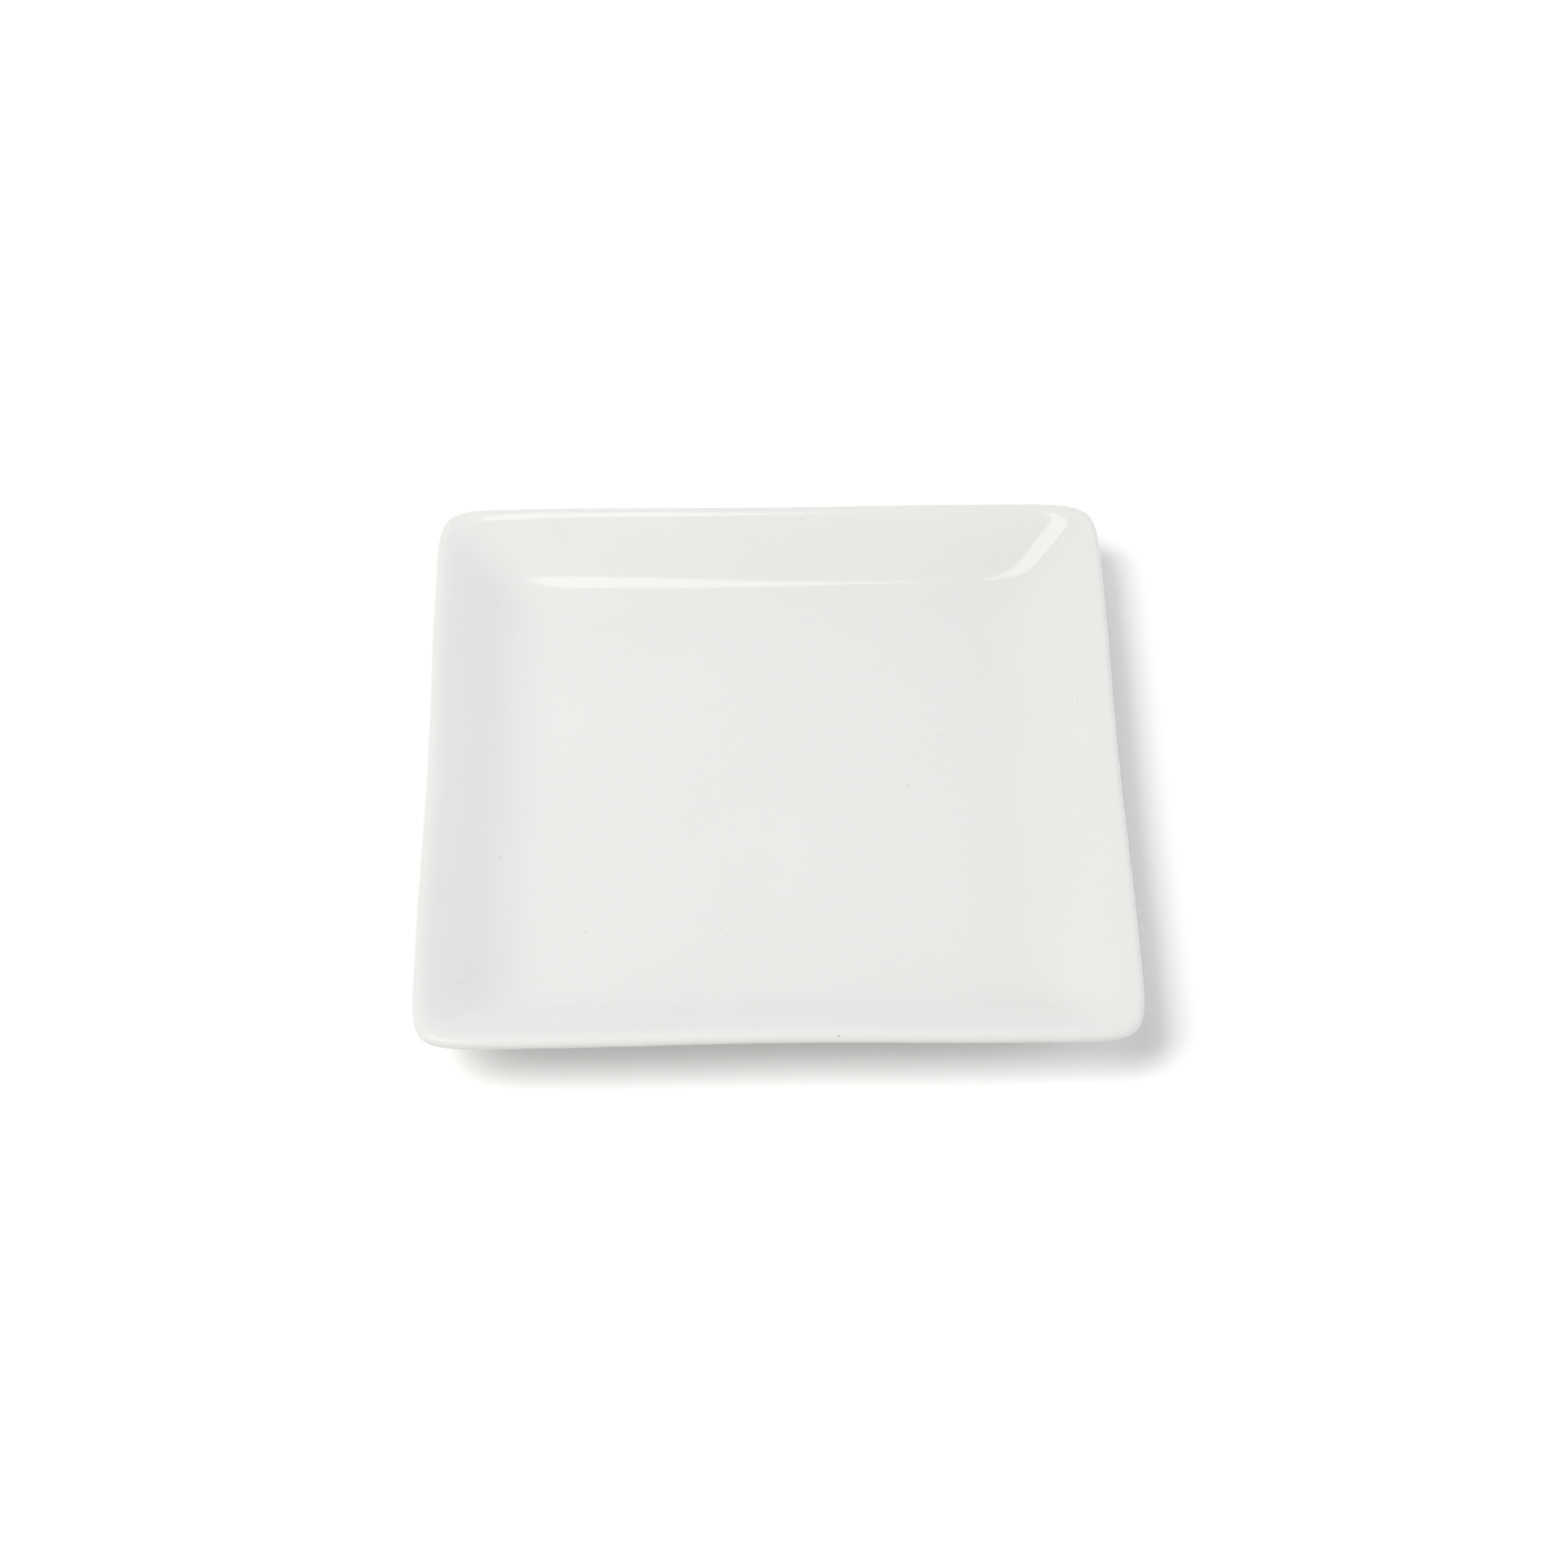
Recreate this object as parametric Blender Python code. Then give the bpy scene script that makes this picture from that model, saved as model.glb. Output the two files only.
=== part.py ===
"""Square porcelain plate with sloping walls and a soft, rounded rim.

The fired clay body stands on a dry foot ring. One coat of glaze wraps the face, the rim and the
outside down to the foot, and a second one lines the base inside the foot ring.
Metres, +Z up. The origin is on the table, under the middle of the plate.
"""

import math

import bmesh
import bpy

# Outline, seen from above
SIDE = 0.180  # outside of the rim to outside of the rim
SIDE_BOW = 0.0006  # how far each side is drawn in at its middle
BORDER = 0.0317  # outside of the rim in to the edge of the flat floor
RIM_CORNER = 0.032  # length that a corner takes from each side, at the rim
RIM_SQUARENESS = 7.1  # power of the corner's curve at the rim, where 2 is a round corner
FLOOR_CORNER = 0.0121  # length that a corner takes from each side, at the floor
FLOOR_SQUARENESS = 3.8  # power of the corner's curve at the floor
CORNER_EASE = 1.2  # above 1 the corner takes on the rim's curve higher up the wall

# Section, at the middle of a side
HEIGHT = 0.0195  # table to the top of the rim
CORNER_DROOP = 0.0006  # how much lower the rim is at a corner
DROOP_EASE = 1.5  # above 1 the droop starts higher up the wall
RIM_THICKNESS = 0.0032  # across the rounded edge
FLARE_RADIUS = 0.0129  # wall into the rim, on the face
FLARE_LEAN = math.radians(18.4)  # slope of the face where the flare meets the rounded edge
FLOOR_THICKNESS = 0.0044
SWEEP_RADIUS = 0.0314  # floor into wall, on the face
FOOT_HEIGHT = 0.0026  # table to the underside of the floor
FOOT_WIDTH = 0.0045
FOOT_LEDGE = 0.0004  # flat left between the foot's fillet and the sweep of the underside
FOOT_FILLET = 0.0010  # foot into the underside and into the base
FOOT_ROUNDING = 0.0006  # edges of the face that it stands on

# Glaze
GLAZE_THICKNESS = 0.0003
GLAZE_CLEARANCE = 0.0001  # between glaze and clay, which are fused on the real plate
DRY_HEIGHT = 0.0011  # table to the glaze's lower edge on the foot

# Facets
CORNER_STEPS = 10
CORNER_CROWDING = 2.0  # above 1 the points of a corner gather towards its tip
SIDE_STEPS = 6
SWEEP_STEPS = 4
WALL_STEPS = 3
FLARE_STEPS = 3
RIM_STEPS = 6
FILLET_STEPS = 2
SHARP_ANGLE = math.radians(35)

# Colours and finish
CLAY_COLOUR = (0.78, 0.76, 0.72)
CLAY_ROUGHNESS = 0.75
GLAZE_COLOUR = (0.83, 0.83, 0.81)
GLAZE_ROUGHNESS = 0.08

# Worked out from the sizes above. A place in the section is (half-width, height).
QUARTER = math.pi / 2
RIM_RADIUS = RIM_THICKNESS / 2
RIM_CENTRE = (SIDE / 2 - RIM_RADIUS, HEIGHT - RIM_RADIUS)
FLARE_CENTRE = (
    RIM_CENTRE[0] + (FLARE_RADIUS - RIM_RADIUS) * math.sin(FLARE_LEAN),
    RIM_CENTRE[1] - (FLARE_RADIUS - RIM_RADIUS) * math.cos(FLARE_LEAN),
)
FLOOR_HALF = SIDE / 2 - BORDER
FLOOR_TOP = FOOT_HEIGHT + FLOOR_THICKNESS
FOOT_OUTER = FLOOR_HALF - FOOT_LEDGE - FOOT_FILLET
FOOT_INNER = FOOT_OUTER - FOOT_WIDTH
WALL_RUN = RIM_CENTRE[0] - FLOOR_HALF
UNDER_SPARE = FLOOR_THICKNESS - RIM_RADIUS
BODY_INSET = GLAZE_THICKNESS + GLAZE_CLEARANCE


def largest_sweep(centre, spare):
    """The radius of sweep that leaves no straight part in the skin that ends round this centre."""
    run = centre[0] - FLOOR_HALF
    rise = centre[1] - FLOOR_TOP
    return (run**2 + rise**2 - spare**2) / (2 * (rise + spare))


FACE_LIMIT = largest_sweep(FLARE_CENTRE, FLARE_RADIUS)
UNDER_LIMIT = largest_sweep(RIM_CENTRE, UNDER_SPARE)
SWEEP = min(SWEEP_RADIUS, FACE_LIMIT, UNDER_LIMIT)
SWEEP_CENTRE = (FLOOR_HALF, FLOOR_TOP + SWEEP)


def lean(centre, spare):
    """Slope of the straight part of a skin that starts at the sweep and ends round this centre."""
    run = centre[0] - SWEEP_CENTRE[0]
    drop = SWEEP_CENTRE[1] - centre[1]
    share = min((SWEEP + spare) / math.hypot(run, drop), 1)
    return math.asin(share) - math.atan2(drop, run)


FACE_LEAN = lean(FLARE_CENTRE, FLARE_RADIUS)
UNDER_LEAN = lean(RIM_CENTRE, UNDER_SPARE)


def arc(centre, radius, start, end, steps):
    """Places along an arc of the section."""
    places = []
    for step in range(steps + 1):
        angle = start + (end - start) * step / steps
        places.append((centre[0] + radius * math.cos(angle), centre[1] + radius * math.sin(angle)))
    return places


def between(start, end):
    """Places along a straight wall, without its two ends."""
    places = []
    for step in range(1, WALL_STEPS):
        share = step / WALL_STEPS
        places.append((start[0] + (end[0] - start[0]) * share, start[1] + (end[1] - start[1]) * share))
    return places


def outside(inset):
    """Section from the floor's edge up the face, over the rim and down the outside to the foot."""
    face = arc(SWEEP_CENTRE, SWEEP + inset, -QUARTER, FACE_LEAN - QUARTER, SWEEP_STEPS)
    flare_end = FLARE_LEAN + QUARTER
    flare = arc(FLARE_CENTRE, FLARE_RADIUS - inset, FACE_LEAN + QUARTER, flare_end, FLARE_STEPS)
    edge = arc(RIM_CENTRE, RIM_RADIUS - inset, flare_end, UNDER_LEAN - QUARTER, RIM_STEPS)
    rim = flare + edge[1:]
    under_radius = SWEEP + FLOOR_THICKNESS - inset
    under = arc(SWEEP_CENTRE, under_radius, UNDER_LEAN - QUARTER, -QUARTER, SWEEP_STEPS)
    fillet_centre = (FOOT_OUTER + FOOT_FILLET, FOOT_HEIGHT - FOOT_FILLET)
    fillet = arc(fillet_centre, FOOT_FILLET + inset, QUARTER, 2 * QUARTER, FILLET_STEPS)
    return face + between(face[-1], rim[0]) + rim + between(rim[-1], under[0]) + under + fillet


def foot(inset):
    """Section across the foot, from its outer face to its inner one."""
    outer_centre = (FOOT_OUTER - inset - FOOT_ROUNDING, FOOT_ROUNDING)
    inner_centre = (FOOT_INNER + inset + FOOT_ROUNDING, FOOT_ROUNDING)
    outer_edge = arc(outer_centre, FOOT_ROUNDING, 0, -QUARTER, FILLET_STEPS)
    inner_edge = arc(inner_centre, FOOT_ROUNDING, -QUARTER, -2 * QUARTER, FILLET_STEPS)
    return outer_edge + inner_edge


def base(inset):
    """Section from the foot's inner face up and in to the edge of the flat base."""
    centre = (FOOT_INNER - FOOT_FILLET, FOOT_HEIGHT - FOOT_FILLET)
    return arc(centre, FOOT_FILLET + inset, 0, QUARTER, FILLET_STEPS)


def toward_rim(half, ease):
    """0 at the floor's edge and inside it, 1 at the rim, easing in and out."""
    share = min(max((half - FLOOR_HALF) / WALL_RUN, 0), 1) ** ease
    return share * share * (3 - 2 * share)


def outline(half):
    """Places (x, y) round the plate at this half-width: four corners, each followed by a side."""
    rim_share = toward_rim(half, CORNER_EASE)
    corner = FLOOR_CORNER + (RIM_CORNER - FLOOR_CORNER) * rim_share
    power = FLOOR_SQUARENESS + (RIM_SQUARENESS - FLOOR_SQUARENESS) * rim_share
    straight = half - corner
    quarter = []
    for step in range(CORNER_STEPS):
        offset = 2 * step / CORNER_STEPS - 1
        angle = QUARTER / 2 * (1 + math.copysign(abs(offset) ** CORNER_CROWDING, offset))
        across = math.cos(angle)
        along = math.sin(angle)
        radius = corner / (across**power + along**power) ** (1 / power)
        quarter.append((straight + radius * across, straight + radius * along))
    for step in range(SIDE_STEPS):
        along = 1 - 2 * step / SIDE_STEPS
        quarter.append((straight * along, half - SIDE_BOW * math.cos(along * QUARTER) ** 2))
    places = []
    for turn in range(4):
        places += quarter
        quarter = [(-y, x) for x, y in quarter]
    return places


def loop_places(half, height):
    """Places round one loop of the plate. Its height falls towards the corners of the rim."""
    droop = CORNER_DROOP * toward_rim(half, DROOP_EASE)
    return [(x, y, height - droop * (x * y / half**2) ** 2) for x, y in outline(half)]


def loop_edges(bm, points):
    return [bm.edges.get((points[i - 1], points[i])) for i in range(len(points))]


def extrude_loop(bm, points, places):
    """Extrudes the last loop of a wall to its next places, and returns the new loop's points."""
    made = bmesh.ops.extrude_edge_only(bm, edges=loop_edges(bm, points))["geom"]
    new_points = []
    for point, place in zip(points, places):
        ends = [edge.other_vert(point) for edge in point.link_edges]
        new_point = next(end for end in ends if end in made)
        new_point.co = place
        new_points.append(new_point)
    return new_points


def add_piece(name, section, material, parent):
    """A closed solid: the section carried round the plate, and flat across at its first and last loop."""
    bm = bmesh.new()
    first = [bm.verts.new(place) for place in loop_places(*section[0])]
    for i in range(len(first)):
        bm.edges.new((first[i - 1], first[i]))
    points = first
    for half, height in section[1:]:
        points = extrude_loop(bm, points, loop_places(half, height))
    bmesh.ops.contextual_create(bm, geom=loop_edges(bm, first))
    bmesh.ops.contextual_create(bm, geom=loop_edges(bm, points))
    bmesh.ops.triangulate(bm, faces=bm.faces[:], quad_method="SHORT_EDGE", ngon_method="BEAUTY")
    bmesh.ops.recalc_face_normals(bm, faces=bm.faces[:])
    mesh = bpy.data.meshes.new(name)
    bm.to_mesh(mesh)
    bm.free()
    mesh.shade_smooth()
    mesh.set_sharp_from_angle(angle=SHARP_ANGLE)
    mesh.materials.append(material)
    piece = bpy.data.objects.new(name, mesh)
    piece.parent = parent
    bpy.context.scene.collection.objects.link(piece)


def add_material(name, colour, roughness):
    material = bpy.data.materials.new(name)
    material.use_nodes = True
    shader = material.node_tree.nodes["Principled BSDF"]
    shader.inputs["Base Color"].default_value = (*colour, 1)
    shader.inputs["Roughness"].default_value = roughness
    shader.inputs["Metallic"].default_value = 0
    return material


def clay_section():
    return outside(BODY_INSET) + foot(BODY_INSET) + base(BODY_INSET)


def outer_coat_section():
    """Down the coat's outer side to the glaze line, and back up the side that lies on the clay."""
    outer_side = outside(0) + [(FOOT_OUTER, DRY_HEIGHT)]
    clay_side = outside(GLAZE_THICKNESS) + [(FOOT_OUTER - GLAZE_THICKNESS, DRY_HEIGHT)]
    return outer_side + clay_side[::-1]


def base_coat_section():
    """Out over the base and down the foot's inner face to the glaze line, and back on the clay."""
    outer_side = [(FOOT_INNER, DRY_HEIGHT)] + base(0)
    clay_side = [(FOOT_INNER + GLAZE_THICKNESS, DRY_HEIGHT)] + base(GLAZE_THICKNESS)
    return outer_side[::-1] + clay_side


def main():
    for old in list(bpy.data.objects):
        bpy.data.objects.remove(old)
    plate = bpy.data.objects.new("square_plate", None)
    bpy.context.scene.collection.objects.link(plate)
    clay = add_material("fired_porcelain", CLAY_COLOUR, CLAY_ROUGHNESS)
    glaze = add_material("white_glaze", GLAZE_COLOUR, GLAZE_ROUGHNESS)
    base_glaze = add_material("white_base_glaze", GLAZE_COLOUR, GLAZE_ROUGHNESS)
    add_piece("porcelain_body", clay_section(), clay, plate)
    add_piece("outer_glaze_coat", outer_coat_section(), glaze, plate)
    add_piece("base_glaze_coat", base_coat_section(), base_glaze, plate)


main()
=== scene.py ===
import math

import bmesh
import bpy
from mathutils import Matrix, Vector


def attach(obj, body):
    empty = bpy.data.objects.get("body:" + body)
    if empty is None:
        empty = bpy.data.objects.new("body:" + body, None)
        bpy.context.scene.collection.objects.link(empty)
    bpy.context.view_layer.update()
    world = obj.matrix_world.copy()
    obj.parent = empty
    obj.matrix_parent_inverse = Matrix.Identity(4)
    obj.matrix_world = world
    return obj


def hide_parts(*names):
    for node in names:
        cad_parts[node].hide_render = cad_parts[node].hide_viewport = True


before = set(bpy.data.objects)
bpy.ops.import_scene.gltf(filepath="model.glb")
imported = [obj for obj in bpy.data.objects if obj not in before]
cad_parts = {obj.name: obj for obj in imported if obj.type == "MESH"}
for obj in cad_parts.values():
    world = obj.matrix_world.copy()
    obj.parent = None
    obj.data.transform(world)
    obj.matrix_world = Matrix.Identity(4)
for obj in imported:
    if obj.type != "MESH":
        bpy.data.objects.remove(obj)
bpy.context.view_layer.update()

MM = 0.001

# Outline, seen from above
SIDE = 179.96 * MM  # a hair inside the facets of the solids
SIDE_BOW = 0.6 * MM  # how far each side is drawn in at its middle
BORDER = 31.7 * MM  # outside of the rim in to the edge of the flat floor
RIM_CORNER = 32 * MM  # length that a corner takes from each side, at the rim
RIM_SQUARENESS = 7.1  # power of the corner's curve at the rim, where 2 is a round corner
FLOOR_CORNER = 12.1 * MM
FLOOR_SQUARENESS = 3.8
CORNER_EASE = 1.2  # above 1 the corner takes on the rim's curve higher up the wall
CORNER_DROOP = 0.6 * MM  # how much lower the rim is at a corner
DROOP_EASE = 1.5  # above 1 the droop starts higher up the wall

# Section, at the middle of a side
HEIGHT = 19.48 * MM
RIM_THICKNESS = 3.2 * MM
FLARE_RADIUS = 12.9 * MM  # wall into the rim, on the face
FLARE_LEAN = math.radians(18.4)  # slope of the face where the flare meets the rounded edge
FLOOR_THICKNESS = 4.4 * MM
SWEEP = 31.4 * MM  # radius from the floor into the wall, on the face
FOOT_HEIGHT = 2.6 * MM
FOOT_WIDTH = 4.5 * MM
FOOT_LEDGE = 0.4 * MM
FOOT_FILLET = 1.0 * MM
FOOT_ROUNDING = 0.6 * MM

# Glaze
GLAZE_THICKNESS = 0.3 * MM
CLAY_INSET = 0.4 * MM  # from the outside of the glaze to the clay
DRY_HEIGHT = 1.1 * MM  # table to the glaze line on the foot
GLAZE_LINE_WAVE = 0.12 * MM  # how far the glaze line wanders up and down
LONG_WAVES = 5  # round the foot
SHORT_WAVES = 13
LONG_WAVE_START = 1.0  # turn in radians, so that the two don't start together

# Mesh
GRID = 40  # cells along each side of the floor
SIDE_SHARE = 0.4  # share of a side's points that lie on its straight part
CORNER_CROWDING = 1.8  # above 1 the points of a corner gather towards its tip
SWEEP_STEPS = 8
WALL_STEPS = 5
FLARE_STEPS = 4
EDGE_STEPS = 9
UNDER_STEPS = 6
FOOT_STEPS = 3
SMALL_STEPS = 4  # fillets and rounded edges of the foot
WELD = 0.001 * MM

# Worked out from the sizes above. A place in the section is (half-width, height).
QUARTER = math.pi / 2
RIM_RADIUS = RIM_THICKNESS / 2
RIM_CENTRE = (SIDE / 2 - RIM_RADIUS, HEIGHT - RIM_RADIUS)
FLARE_CENTRE = (
    RIM_CENTRE[0] + (FLARE_RADIUS - RIM_RADIUS) * math.sin(FLARE_LEAN),
    RIM_CENTRE[1] - (FLARE_RADIUS - RIM_RADIUS) * math.cos(FLARE_LEAN),
)
FLOOR_HALF = SIDE / 2 - BORDER
FLOOR_TOP = FOOT_HEIGHT + FLOOR_THICKNESS
SWEEP_CENTRE = (FLOOR_HALF, FLOOR_TOP + SWEEP)
FOOT_OUTER = FLOOR_HALF - FOOT_LEDGE - FOOT_FILLET
FOOT_INNER = FOOT_OUTER - FOOT_WIDTH


def lean(centre, spare):
    """Slope of the straight part of a skin that starts at the sweep and ends round this centre."""
    run = centre[0] - SWEEP_CENTRE[0]
    drop = SWEEP_CENTRE[1] - centre[1]
    return math.asin((SWEEP + spare) / math.hypot(run, drop)) - math.atan2(drop, run)


FACE_LEAN = lean(FLARE_CENTRE, FLARE_RADIUS)
UNDER_LEAN = lean(RIM_CENTRE, FLOOR_THICKNESS - RIM_RADIUS)


def arc(centre, radius, start, end, steps):
    """Places along an arc of the section."""
    angles = [start + (end - start) * step / steps for step in range(steps + 1)]
    return [(centre[0] + radius * math.cos(a), centre[1] + radius * math.sin(a)) for a in angles]


def between(start, end, steps):
    """Places along a straight part of the section, without its two ends."""
    shares = [step / steps for step in range(1, steps)]
    return [(start[0] + (end[0] - start[0]) * s, start[1] + (end[1] - start[1]) * s) for s in shares]


def outside(inset):
    """Section from the floor's edge up the face, over the rim and down the outside to the foot."""
    face = arc(SWEEP_CENTRE, SWEEP + inset, -QUARTER, FACE_LEAN - QUARTER, SWEEP_STEPS)
    flare_end = FLARE_LEAN + QUARTER
    flare = arc(FLARE_CENTRE, FLARE_RADIUS - inset, FACE_LEAN + QUARTER, flare_end, FLARE_STEPS)
    edge = arc(RIM_CENTRE, RIM_RADIUS - inset, flare_end, UNDER_LEAN - QUARTER, EDGE_STEPS)
    under_radius = SWEEP + FLOOR_THICKNESS - inset
    under = arc(SWEEP_CENTRE, under_radius, UNDER_LEAN - QUARTER, -QUARTER, UNDER_STEPS)
    fillet_centre = (FOOT_OUTER + FOOT_FILLET, FOOT_HEIGHT - FOOT_FILLET)
    fillet = arc(fillet_centre, FOOT_FILLET + inset, QUARTER, 2 * QUARTER, SMALL_STEPS)
    wall = between(face[-1], flare[0], WALL_STEPS)
    wall_under = between(edge[-1], under[0], WALL_STEPS)
    return face + wall + flare + edge[1:] + wall_under + under + fillet


def foot(inset):
    """Section across the foot, from its outer face to its inner one."""
    outer_centre = (FOOT_OUTER - inset - FOOT_ROUNDING, FOOT_ROUNDING)
    inner_centre = (FOOT_INNER + inset + FOOT_ROUNDING, FOOT_ROUNDING)
    outer_edge = arc(outer_centre, FOOT_ROUNDING, 0, -QUARTER, SMALL_STEPS)
    inner_edge = arc(inner_centre, FOOT_ROUNDING, -QUARTER, -2 * QUARTER, SMALL_STEPS)
    return outer_edge + between(outer_edge[-1], inner_edge[0], FOOT_STEPS) + inner_edge


def base(inset):
    """Section from the foot's inner face up and in to the edge of the flat base."""
    centre = (FOOT_INNER - FOOT_FILLET, FOOT_HEIGHT - FOOT_FILLET)
    return arc(centre, FOOT_FILLET + inset, 0, QUARTER, SMALL_STEPS)


def toward_rim(half, ease):
    """0 at the floor's edge and inside it, 1 at the rim, easing in and out."""
    share = min(max((half - FLOOR_HALF) / (RIM_CENTRE[0] - FLOOR_HALF), 0), 1) ** ease
    return share * share * (3 - 2 * share)


def place(spot, half, height):
    """Where a spot on the edge of a unit square goes on the plate's outline at this half-width."""
    rim_share = toward_rim(half, CORNER_EASE)
    corner = FLOOR_CORNER + (RIM_CORNER - FLOOR_CORNER) * rim_share
    power = FLOOR_SQUARENESS + (RIM_SQUARENESS - FLOOR_SQUARENESS) * rim_share
    straight = half - corner
    along_side = min(abs(spot.x), abs(spot.y))
    if along_side <= SIDE_SHARE:
        share = along_side / SIDE_SHARE
        along = straight * share
        across = half - SIDE_BOW * math.cos(share * QUARTER) ** 2
    else:
        share = (1 - along_side) / (1 - SIDE_SHARE)
        angle = QUARTER / 2 * (1 - share**CORNER_CROWDING)
        reach = corner / (math.cos(angle) ** power + math.sin(angle) ** power) ** (1 / power)
        along = straight + reach * math.sin(angle)
        across = straight + reach * math.cos(angle)
    droop = CORNER_DROOP * toward_rim(half, DROOP_EASE) * (along * across / half**2) ** 2
    x, y = (across, along) if abs(spot.x) >= abs(spot.y) else (along, across)
    return Vector((math.copysign(x, spot.x), math.copysign(y, spot.y), height - droop))


def add_floor(bm, half, height):
    """A square grid pulled out to the rounded outline of a flat floor."""
    spot = bm.verts.layers.float_vector["spot"]
    points = bmesh.ops.create_grid(bm, x_segments=GRID, y_segments=GRID, size=1)["verts"]
    for point in points:
        ring = max(abs(point.co.x), abs(point.co.y))
        point[spot] = point.co / ring if ring > 0 else Vector((1, 0, 0))
        on_edge = place(point[spot], half, height)
        point.co = (on_edge.x * ring, on_edge.y * ring, height)
    return {face for point in points for face in point.link_faces}


def carry(bm, section):
    """Extrudes the open edge of a sheet to each place of the section in turn."""
    spot = bm.verts.layers.float_vector["spot"]
    edges = [edge for edge in bm.edges if edge.is_boundary]
    for half, height in section:
        made = bmesh.ops.extrude_edge_only(bm, edges=edges)["geom"]
        for point in made:
            if isinstance(point, bmesh.types.BMVert):
                point.co = place(point[spot], half, height)
        edges = [edge for edge in made if isinstance(edge, bmesh.types.BMEdge) and edge.is_boundary]


def wander(bm):
    """Lets the glaze line on the foot rise and fall a little, as a wiped edge does."""
    for point in bm.verts:
        if point.is_boundary:
            turn = math.atan2(point.co.y, point.co.x)
            long_wave = math.sin(LONG_WAVES * turn + LONG_WAVE_START)
            short_wave = math.sin(SHORT_WAVES * turn)
            point.co.z += GLAZE_LINE_WAVE * (long_wave + short_wave) / 2


def new_sheet():
    bm = bmesh.new()
    bm.verts.layers.float_vector.new("spot")
    return bm


def finish_piece(bm, name, material, node, wall=0):
    """Makes the mesh an object that stands for its solid. A wall gives an open sheet its thickness."""
    mesh = bpy.data.meshes.new(name)
    bm.to_mesh(mesh)
    bm.free()
    mesh.shade_smooth()
    mesh.materials.append(material)
    piece = bpy.data.objects.new(name, mesh)
    bpy.context.scene.collection.objects.link(piece)
    smooth = piece.modifiers.new("smooth", "SUBSURF")
    smooth.levels = 1
    smooth.render_levels = 1
    if wall:
        thick = piece.modifiers.new("thickness", "SOLIDIFY")
        thick.thickness = wall
        thick.offset = -1
        thick.use_even_offset = True
    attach(piece, "root")
    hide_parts(node)


def make_outer_glaze(material):
    """The coat over the face, the rim and the outside, down to the glaze line on the foot."""
    bm = new_sheet()
    add_floor(bm, FLOOR_HALF, FLOOR_TOP)
    carry(bm, outside(0)[1:] + [(FOOT_OUTER, DRY_HEIGHT)])
    wander(bm)
    finish_piece(bm, "plate_glaze", material, "outer_glaze_coat", GLAZE_THICKNESS)


def make_base_glaze(material):
    """The coat on the base inside the foot ring, down to the glaze line on its inner face."""
    bm = new_sheet()
    rise = base(0)
    add_floor(bm, *rise[-1])
    bmesh.ops.reverse_faces(bm, faces=bm.faces[:])
    carry(bm, rise[-2::-1] + [(FOOT_INNER, DRY_HEIGHT)])
    wander(bm)
    finish_piece(bm, "base_glaze", material, "base_glaze_coat", GLAZE_THICKNESS)


def make_clay(material):
    """The fired body, which shows only on the foot ring."""
    bm = new_sheet()
    add_floor(bm, FLOOR_HALF, FLOOR_TOP - CLAY_INSET)
    carry(bm, outside(CLAY_INSET)[1:] + foot(CLAY_INSET) + base(CLAY_INSET))
    under = add_floor(bm, *base(CLAY_INSET)[-1])
    bmesh.ops.reverse_faces(bm, faces=list(under))
    bmesh.ops.remove_doubles(bm, verts=bm.verts[:], dist=WELD)
    finish_piece(bm, "clay_body", material, "porcelain_body")


# Finish
GLAZE_DEEP = "DDDDDC"  # where the glaze lies thickest
GLAZE_PALE = "E0E0DF"
GLAZE_IOR = 1.5
CLOUD_SIZE = 35 * MM  # patches of thicker and thinner glaze
GLOSS_SIZE = 6 * MM
ROUGH_LOW = 0.015
ROUGH_HIGH = 0.04
RIPPLE_SIZE = 14 * MM
RIPPLE_HEIGHT = 0.004 * MM
SPECK_TONE = "8A8175"
SPECK_SPACING = 22 * MM
SPECK_SHARE = 0.5  # share of the places that have a speck
SPECK_RADIUS = 0.36 * MM  # of the largest, and most are smaller
BISQUE_DEEP = "D6D1C6"
BISQUE_PALE = "E6E2D9"
BISQUE_IOR = 1.5
BISQUE_ROUGH = 0.8
GRIT_SIZE = 0.5 * MM
GRIT_HEIGHT = 0.03 * MM


def colour(code):
    """Linear colour of an sRGB hex value."""
    parts = [int(code[i : i + 2], 16) / 255 for i in (0, 2, 4)]
    return [p / 12.92 if p <= 0.04045 else ((p + 0.055) / 1.055) ** 2.4 for p in parts] + [1]


def add_node(tree, kind, inputs=(), **settings):
    """Adds a node. Each input is a socket's name or number and either a value or the output to link."""
    node = tree.nodes.new(kind)
    for name, value in settings.items():
        setattr(node, name, value)
    for socket, value in dict(inputs).items():
        if isinstance(value, bpy.types.NodeSocket):
            tree.links.new(value, node.inputs[socket])
        else:
            node.inputs[socket].default_value = value
    return node


def new_material(name):
    material = bpy.data.materials.new(name)
    material.use_nodes = True
    material.node_tree.nodes.clear()
    return material, material.node_tree


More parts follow.
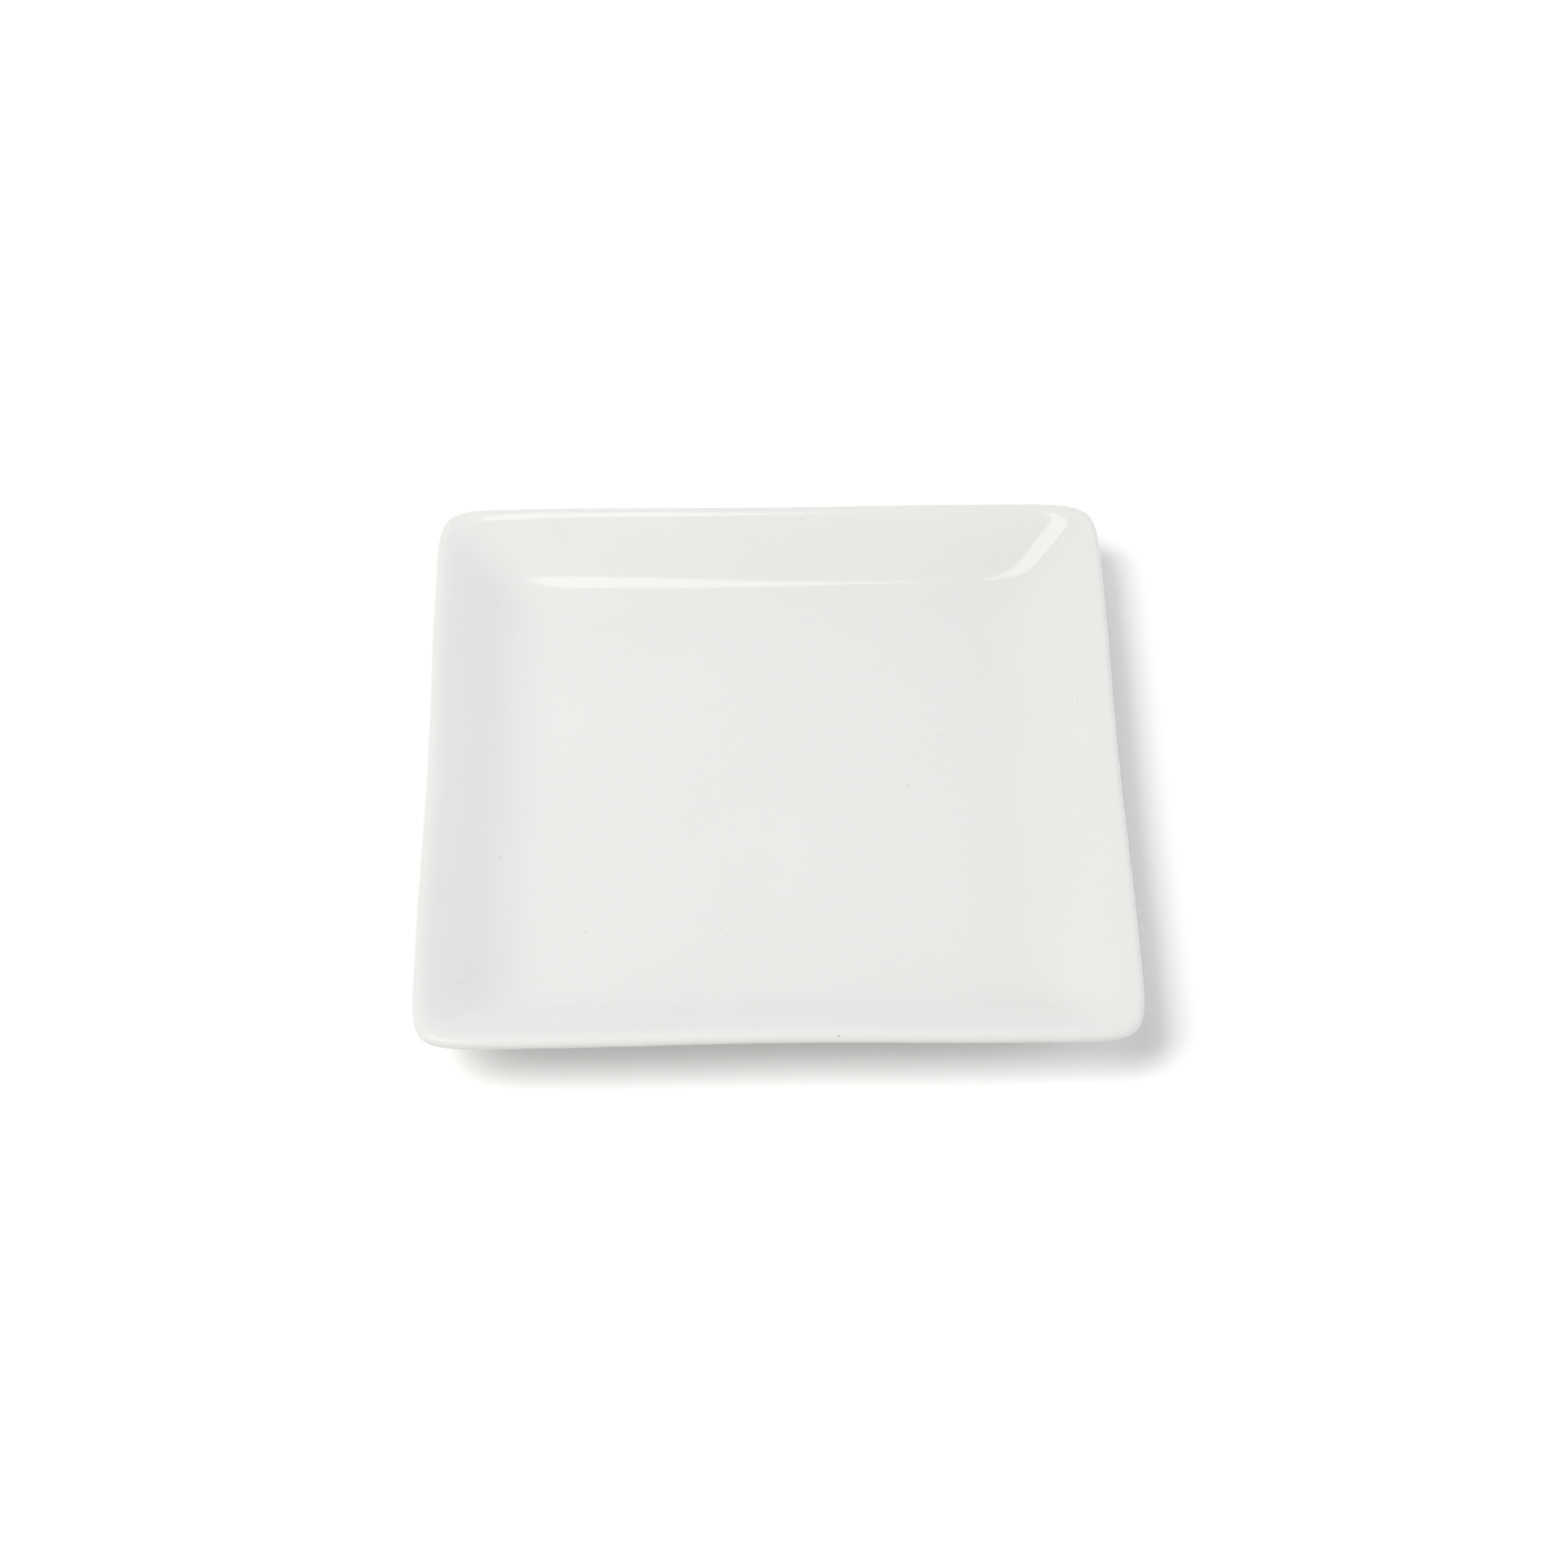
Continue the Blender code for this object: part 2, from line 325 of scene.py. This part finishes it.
def make_glaze(name):
    """Clear feldspar glaze over white porcelain, dipped and fired: a hard, even gloss over a soft white.

    A few grains of iron in the clay show through it as faint grey-brown specks.
    """
    material, tree = new_material(name)
    spot = add_node(tree, "ShaderNodeTexCoord").outputs["Object"]
    cloud = add_node(tree, "ShaderNodeTexNoise", {"Vector": spot, "Scale": 1 / CLOUD_SIZE, "Detail": 2})
    clear = add_node(
        tree,
        "ShaderNodeMix",
        {0: cloud.outputs[0], 6: colour(GLAZE_DEEP), 7: colour(GLAZE_PALE)},
        data_type="RGBA",
    )
    grains = add_node(
        tree,
        "ShaderNodeTexVoronoi",
        {"Vector": spot, "Scale": 1 / SPECK_SPACING},
        voronoi_dimensions="2D",
    )
    reach = add_node(
        tree,
        "ShaderNodeMapRange",
        {0: grains.outputs["Color"], 1: 1 - SPECK_SHARE, 2: 1, 4: SPECK_RADIUS / SPECK_SPACING},
    )
    speck = add_node(tree, "ShaderNodeMapRange", {0: grains.outputs["Distance"], 1: reach.outputs[0], 2: 0})
    tone = add_node(
        tree,
        "ShaderNodeMix",
        {0: speck.outputs[0], 6: clear.outputs[2], 7: colour(SPECK_TONE)},
        data_type="RGBA",
    )
    gloss = add_node(tree, "ShaderNodeTexNoise", {"Vector": spot, "Scale": 1 / GLOSS_SIZE, "Detail": 1})
    rough = add_node(tree, "ShaderNodeMapRange", {0: gloss.outputs[0], 3: ROUGH_LOW, 4: ROUGH_HIGH})
    ripple = add_node(tree, "ShaderNodeTexNoise", {"Vector": spot, "Scale": 1 / RIPPLE_SIZE, "Detail": 1})
    bump = add_node(tree, "ShaderNodeBump", {"Height": ripple.outputs[0], "Distance": RIPPLE_HEIGHT})
    shader = add_node(
        tree,
        "ShaderNodeBsdfPrincipled",
        {
            "Base Color": tone.outputs[2],
            "Roughness": rough.outputs[0],
            "IOR": GLAZE_IOR,
            "Normal": bump.outputs["Normal"],
        },
    )
    add_node(tree, "ShaderNodeOutputMaterial", {"Surface": shader.outputs[0]})
    return material


def make_bisque(name):
    """Unglazed porcelain, fired and ground flat on the foot: dry, chalky and slightly warm."""
    material, tree = new_material(name)
    spot = add_node(tree, "ShaderNodeTexCoord").outputs["Object"]
    grit = add_node(tree, "ShaderNodeTexNoise", {"Vector": spot, "Scale": 1 / GRIT_SIZE, "Detail": 3})
    tone = add_node(
        tree,
        "ShaderNodeMix",
        {0: grit.outputs[0], 6: colour(BISQUE_DEEP), 7: colour(BISQUE_PALE)},
        data_type="RGBA",
    )
    bump = add_node(tree, "ShaderNodeBump", {"Height": grit.outputs[0], "Distance": GRIT_HEIGHT})
    shader = add_node(
        tree,
        "ShaderNodeBsdfPrincipled",
        {
            "Base Color": tone.outputs[2],
            "Roughness": BISQUE_ROUGH,
            "IOR": BISQUE_IOR,
            "Normal": bump.outputs["Normal"],
        },
    )
    add_node(tree, "ShaderNodeOutputMaterial", {"Surface": shader.outputs[0]})
    return material


# Floor and light
PAPER_HALF = 3.5
PAPER_DROP = 0.02 * MM  # below the foot, so that the two don't touch
PAPER_TUCK = 1.5 * MM  # how far the paper reaches in under the foot
PAPER_HOLE = FOOT_OUTER - PAPER_TUCK  # the paper is open under the plate, to let light in from below
PAPER_TONE = "E7E7E7"  # as other things are lit by it
PAPER_SEEN = "FFFFFF"  # as it is seen, also in the glaze
LIFT_NEAR = 0.05  # painted light: a faint glow where the paper is seen near the plate, which lifts its shadow
LIFT_FAR = 0.42  # and a stronger painted glow far off, where the lamps no longer reach
LIFT_START = 0.35  # distances from the plate's middle between which the one becomes the other
LIFT_END = 1.2

# Each lamp: one corner, the way and length of the two sides from there, level and colour. Only a
# mirrored lamp shows in the glaze.
SOFT_BOX = {
    "corner": (0.319, 0.081, 3.57),
    "length_way": (-0.647, -0.588, -0.484),
    "length": 2.6,
    "width_way": (-0.731, 0.299, 0.614),
    "width": 3.2,
    "level": 2.3,
    "tint": "FFFFFF",
    "mirrored": True,
}
KEY_LAMP = {
    "corner": (-0.89, -1.68, 3.36),
    "length_way": (-0.819, 0.0, -0.574),
    "length": 2.4,
    "width_way": (-0.098, 0.985, 0.141),
    "width": 2.2,
    "level": 4.95,
    "tint": "FFFFFC",
    "mirrored": False,
}

# Each part of the sky: the way that it lies, its level there and its colour
SKY = (
    ((0.707, -0.707, 0.0), 2.1, "FFFEFC"),
    ((0.707, 0.707, 0.0), 1.45, "F0F5FF"),
    ((0.0, 1.0, 0.0), 0.55, "FFFAF0"),
    ((-0.612, 0.612, 0.5), 0.55, "FFFCF6"),
)
SKY_EDGE = 0.5  # cosine of the angle at which each part has faded out
HAZE = 0.03  # even light from all round
BACKDROP = 1.0  # white, as it is seen behind the floor and in the glaze
WHITE = "FFFFFF"

# Camera
SENSOR = 36  # mm
LENS = 83.68  # mm
CAMERA_SPOT = (-0.01259, -0.60301, 0.74209)
CAMERA_AIM = (0.00275, -0.00182, 0.010)
CAMERA_ROLL = math.radians(0.491)
CAMERA_REACH = 50  # as far as it sees


def seen_directly(tree):
    """1 for what the camera sees, also by reflection or through glass, and 0 for the light it gives."""
    path = add_node(tree, "ShaderNodeLightPath")
    seen = path.outputs["Is Camera Ray"]
    for ray in ("Is Glossy Ray", "Is Transmission Ray"):
        either = add_node(tree, "ShaderNodeMath", {0: seen, 1: path.outputs[ray]}, operation="MAXIMUM")
        seen = either.outputs[0]
    return seen


def make_floor():
    """A sheet of white paper, which shows as white where nothing shades it. Where it is seen it also glows,
    as painted light that is faint near the plate and stronger far off.
    """
    material, tree = new_material("white_paper")
    seen = seen_directly(tree)
    tone = add_node(
        tree,
        "ShaderNodeMix",
        {0: seen, 6: colour(PAPER_TONE), 7: colour(PAPER_SEEN)},
        data_type="RGBA",
    )
    paper = add_node(tree, "ShaderNodeBsdfDiffuse", {"Color": tone.outputs[2]})
    spot = add_node(tree, "ShaderNodeTexCoord").outputs["Object"]
    away = add_node(tree, "ShaderNodeVectorMath", {0: spot}, operation="LENGTH")
    # Painted light: a glow on the paper where it is seen, growing with distance from the plate's middle
    lift = add_node(
        tree,
        "ShaderNodeMapRange",
        {0: away.outputs["Value"], 1: LIFT_START, 2: LIFT_END, 3: LIFT_NEAR, 4: LIFT_FAR},
    )
    shown = add_node(tree, "ShaderNodeMath", {0: seen, 1: lift.outputs[0]}, operation="MULTIPLY")
    glow = add_node(tree, "ShaderNodeEmission", {"Strength": shown.outputs[0]})
    lifted = add_node(tree, "ShaderNodeAddShader", {0: paper.outputs[0], 1: glow.outputs[0]})
    clear = add_node(tree, "ShaderNodeBsdfTransparent")
    side = add_node(tree, "ShaderNodeNewGeometry")
    both = add_node(
        tree,
        "ShaderNodeMixShader",
        {0: side.outputs["Backfacing"], 1: lifted.outputs[0], 2: clear.outputs[0]},
    )
    add_node(tree, "ShaderNodeOutputMaterial", {"Surface": both.outputs[0]})
    bm = new_sheet()
    hole = add_floor(bm, PAPER_HOLE, -PAPER_DROP)
    carry(bm, [(PAPER_HALF, -PAPER_DROP)])
    bmesh.ops.delete(bm, geom=list(hole), context="FACES")
    mesh = bpy.data.meshes.new("floor")
    bm.to_mesh(mesh)
    bm.free()
    mesh.materials.append(material)
    floor = bpy.data.objects.new("floor", mesh)
    bpy.context.scene.collection.objects.link(floor)


def make_sky():
    """Soft light from the right, the front and the back of a room, with white behind the floor."""
    world = bpy.data.worlds.new("studio")
    world.use_nodes = True
    tree = world.node_tree
    tree.nodes.clear()
    way = add_node(tree, "ShaderNodeTexCoord").outputs["Generated"]
    light = add_node(tree, "ShaderNodeBackground", {"Color": colour(WHITE), "Strength": HAZE})
    for axis, level, tint in SKY:
        near = add_node(tree, "ShaderNodeVectorMath", {0: way, 1: axis}, operation="DOT_PRODUCT")
        fade = add_node(tree, "ShaderNodeMapRange", {0: near.outputs["Value"], 1: SKY_EDGE, 4: level})
        lobe = add_node(
            tree,
            "ShaderNodeBackground",
            {"Color": colour(tint), "Strength": fade.outputs[0]},
        )
        light = add_node(tree, "ShaderNodeAddShader", {0: light.outputs[0], 1: lobe.outputs[0]})
    backdrop = add_node(tree, "ShaderNodeBackground", {"Color": colour(WHITE), "Strength": BACKDROP})
    shown = add_node(
        tree,
        "ShaderNodeMixShader",
        {0: seen_directly(tree), 1: light.outputs[0], 2: backdrop.outputs[0]},
    )
    add_node(tree, "ShaderNodeOutputWorld", {"Surface": shown.outputs[0]})
    bpy.context.scene.world = world


def make_lamp(name, corner, length_way, length, width_way, width, level, tint, mirrored):
    """A rectangle of even light, set by one corner and the way that its two sides run from there."""
    lamp = bpy.data.lights.new(name, "AREA")
    lamp.shape = "RECTANGLE"
    lamp.size = length
    lamp.size_y = width
    lamp.energy = level * math.pi * length * width
    lamp.color = colour(tint)[:3]
    along = Vector(length_way).normalized()
    back = Vector(width_way).cross(along).normalized()
    across = along.cross(back)
    middle = Vector(corner) + (along * length + across * width) / 2
    stand = bpy.data.objects.new(name, lamp)
    stand.visible_glossy = mirrored
    stand.matrix_world = Matrix.Translation(middle) @ Matrix((along, -across, back)).transposed().to_4x4()
    bpy.context.scene.collection.objects.link(stand)


def make_camera():
    data = bpy.data.cameras.new("camera")
    data.sensor_width = SENSOR
    data.lens = LENS
    data.clip_end = CAMERA_REACH
    camera = bpy.data.objects.new("camera", data)
    spot = Vector(CAMERA_SPOT)
    turn = (Vector(CAMERA_AIM) - spot).to_track_quat("-Z", "Y").to_matrix().to_4x4()
    roll = Matrix.Rotation(CAMERA_ROLL, 4, "Z")
    camera.matrix_world = Matrix.Translation(spot) @ turn @ roll
    bpy.context.scene.collection.objects.link(camera)
    bpy.context.scene.camera = camera


bpy.context.scene.view_settings.view_transform = "Standard"
make_camera()
make_sky()
make_lamp("soft_box", **SOFT_BOX)
make_lamp("key_lamp", **KEY_LAMP)
make_floor()
make_outer_glaze(make_glaze("clear_glaze_on_porcelain"))
make_base_glaze(make_glaze("clear_glaze_on_base"))
make_clay(make_bisque("unglazed_porcelain"))
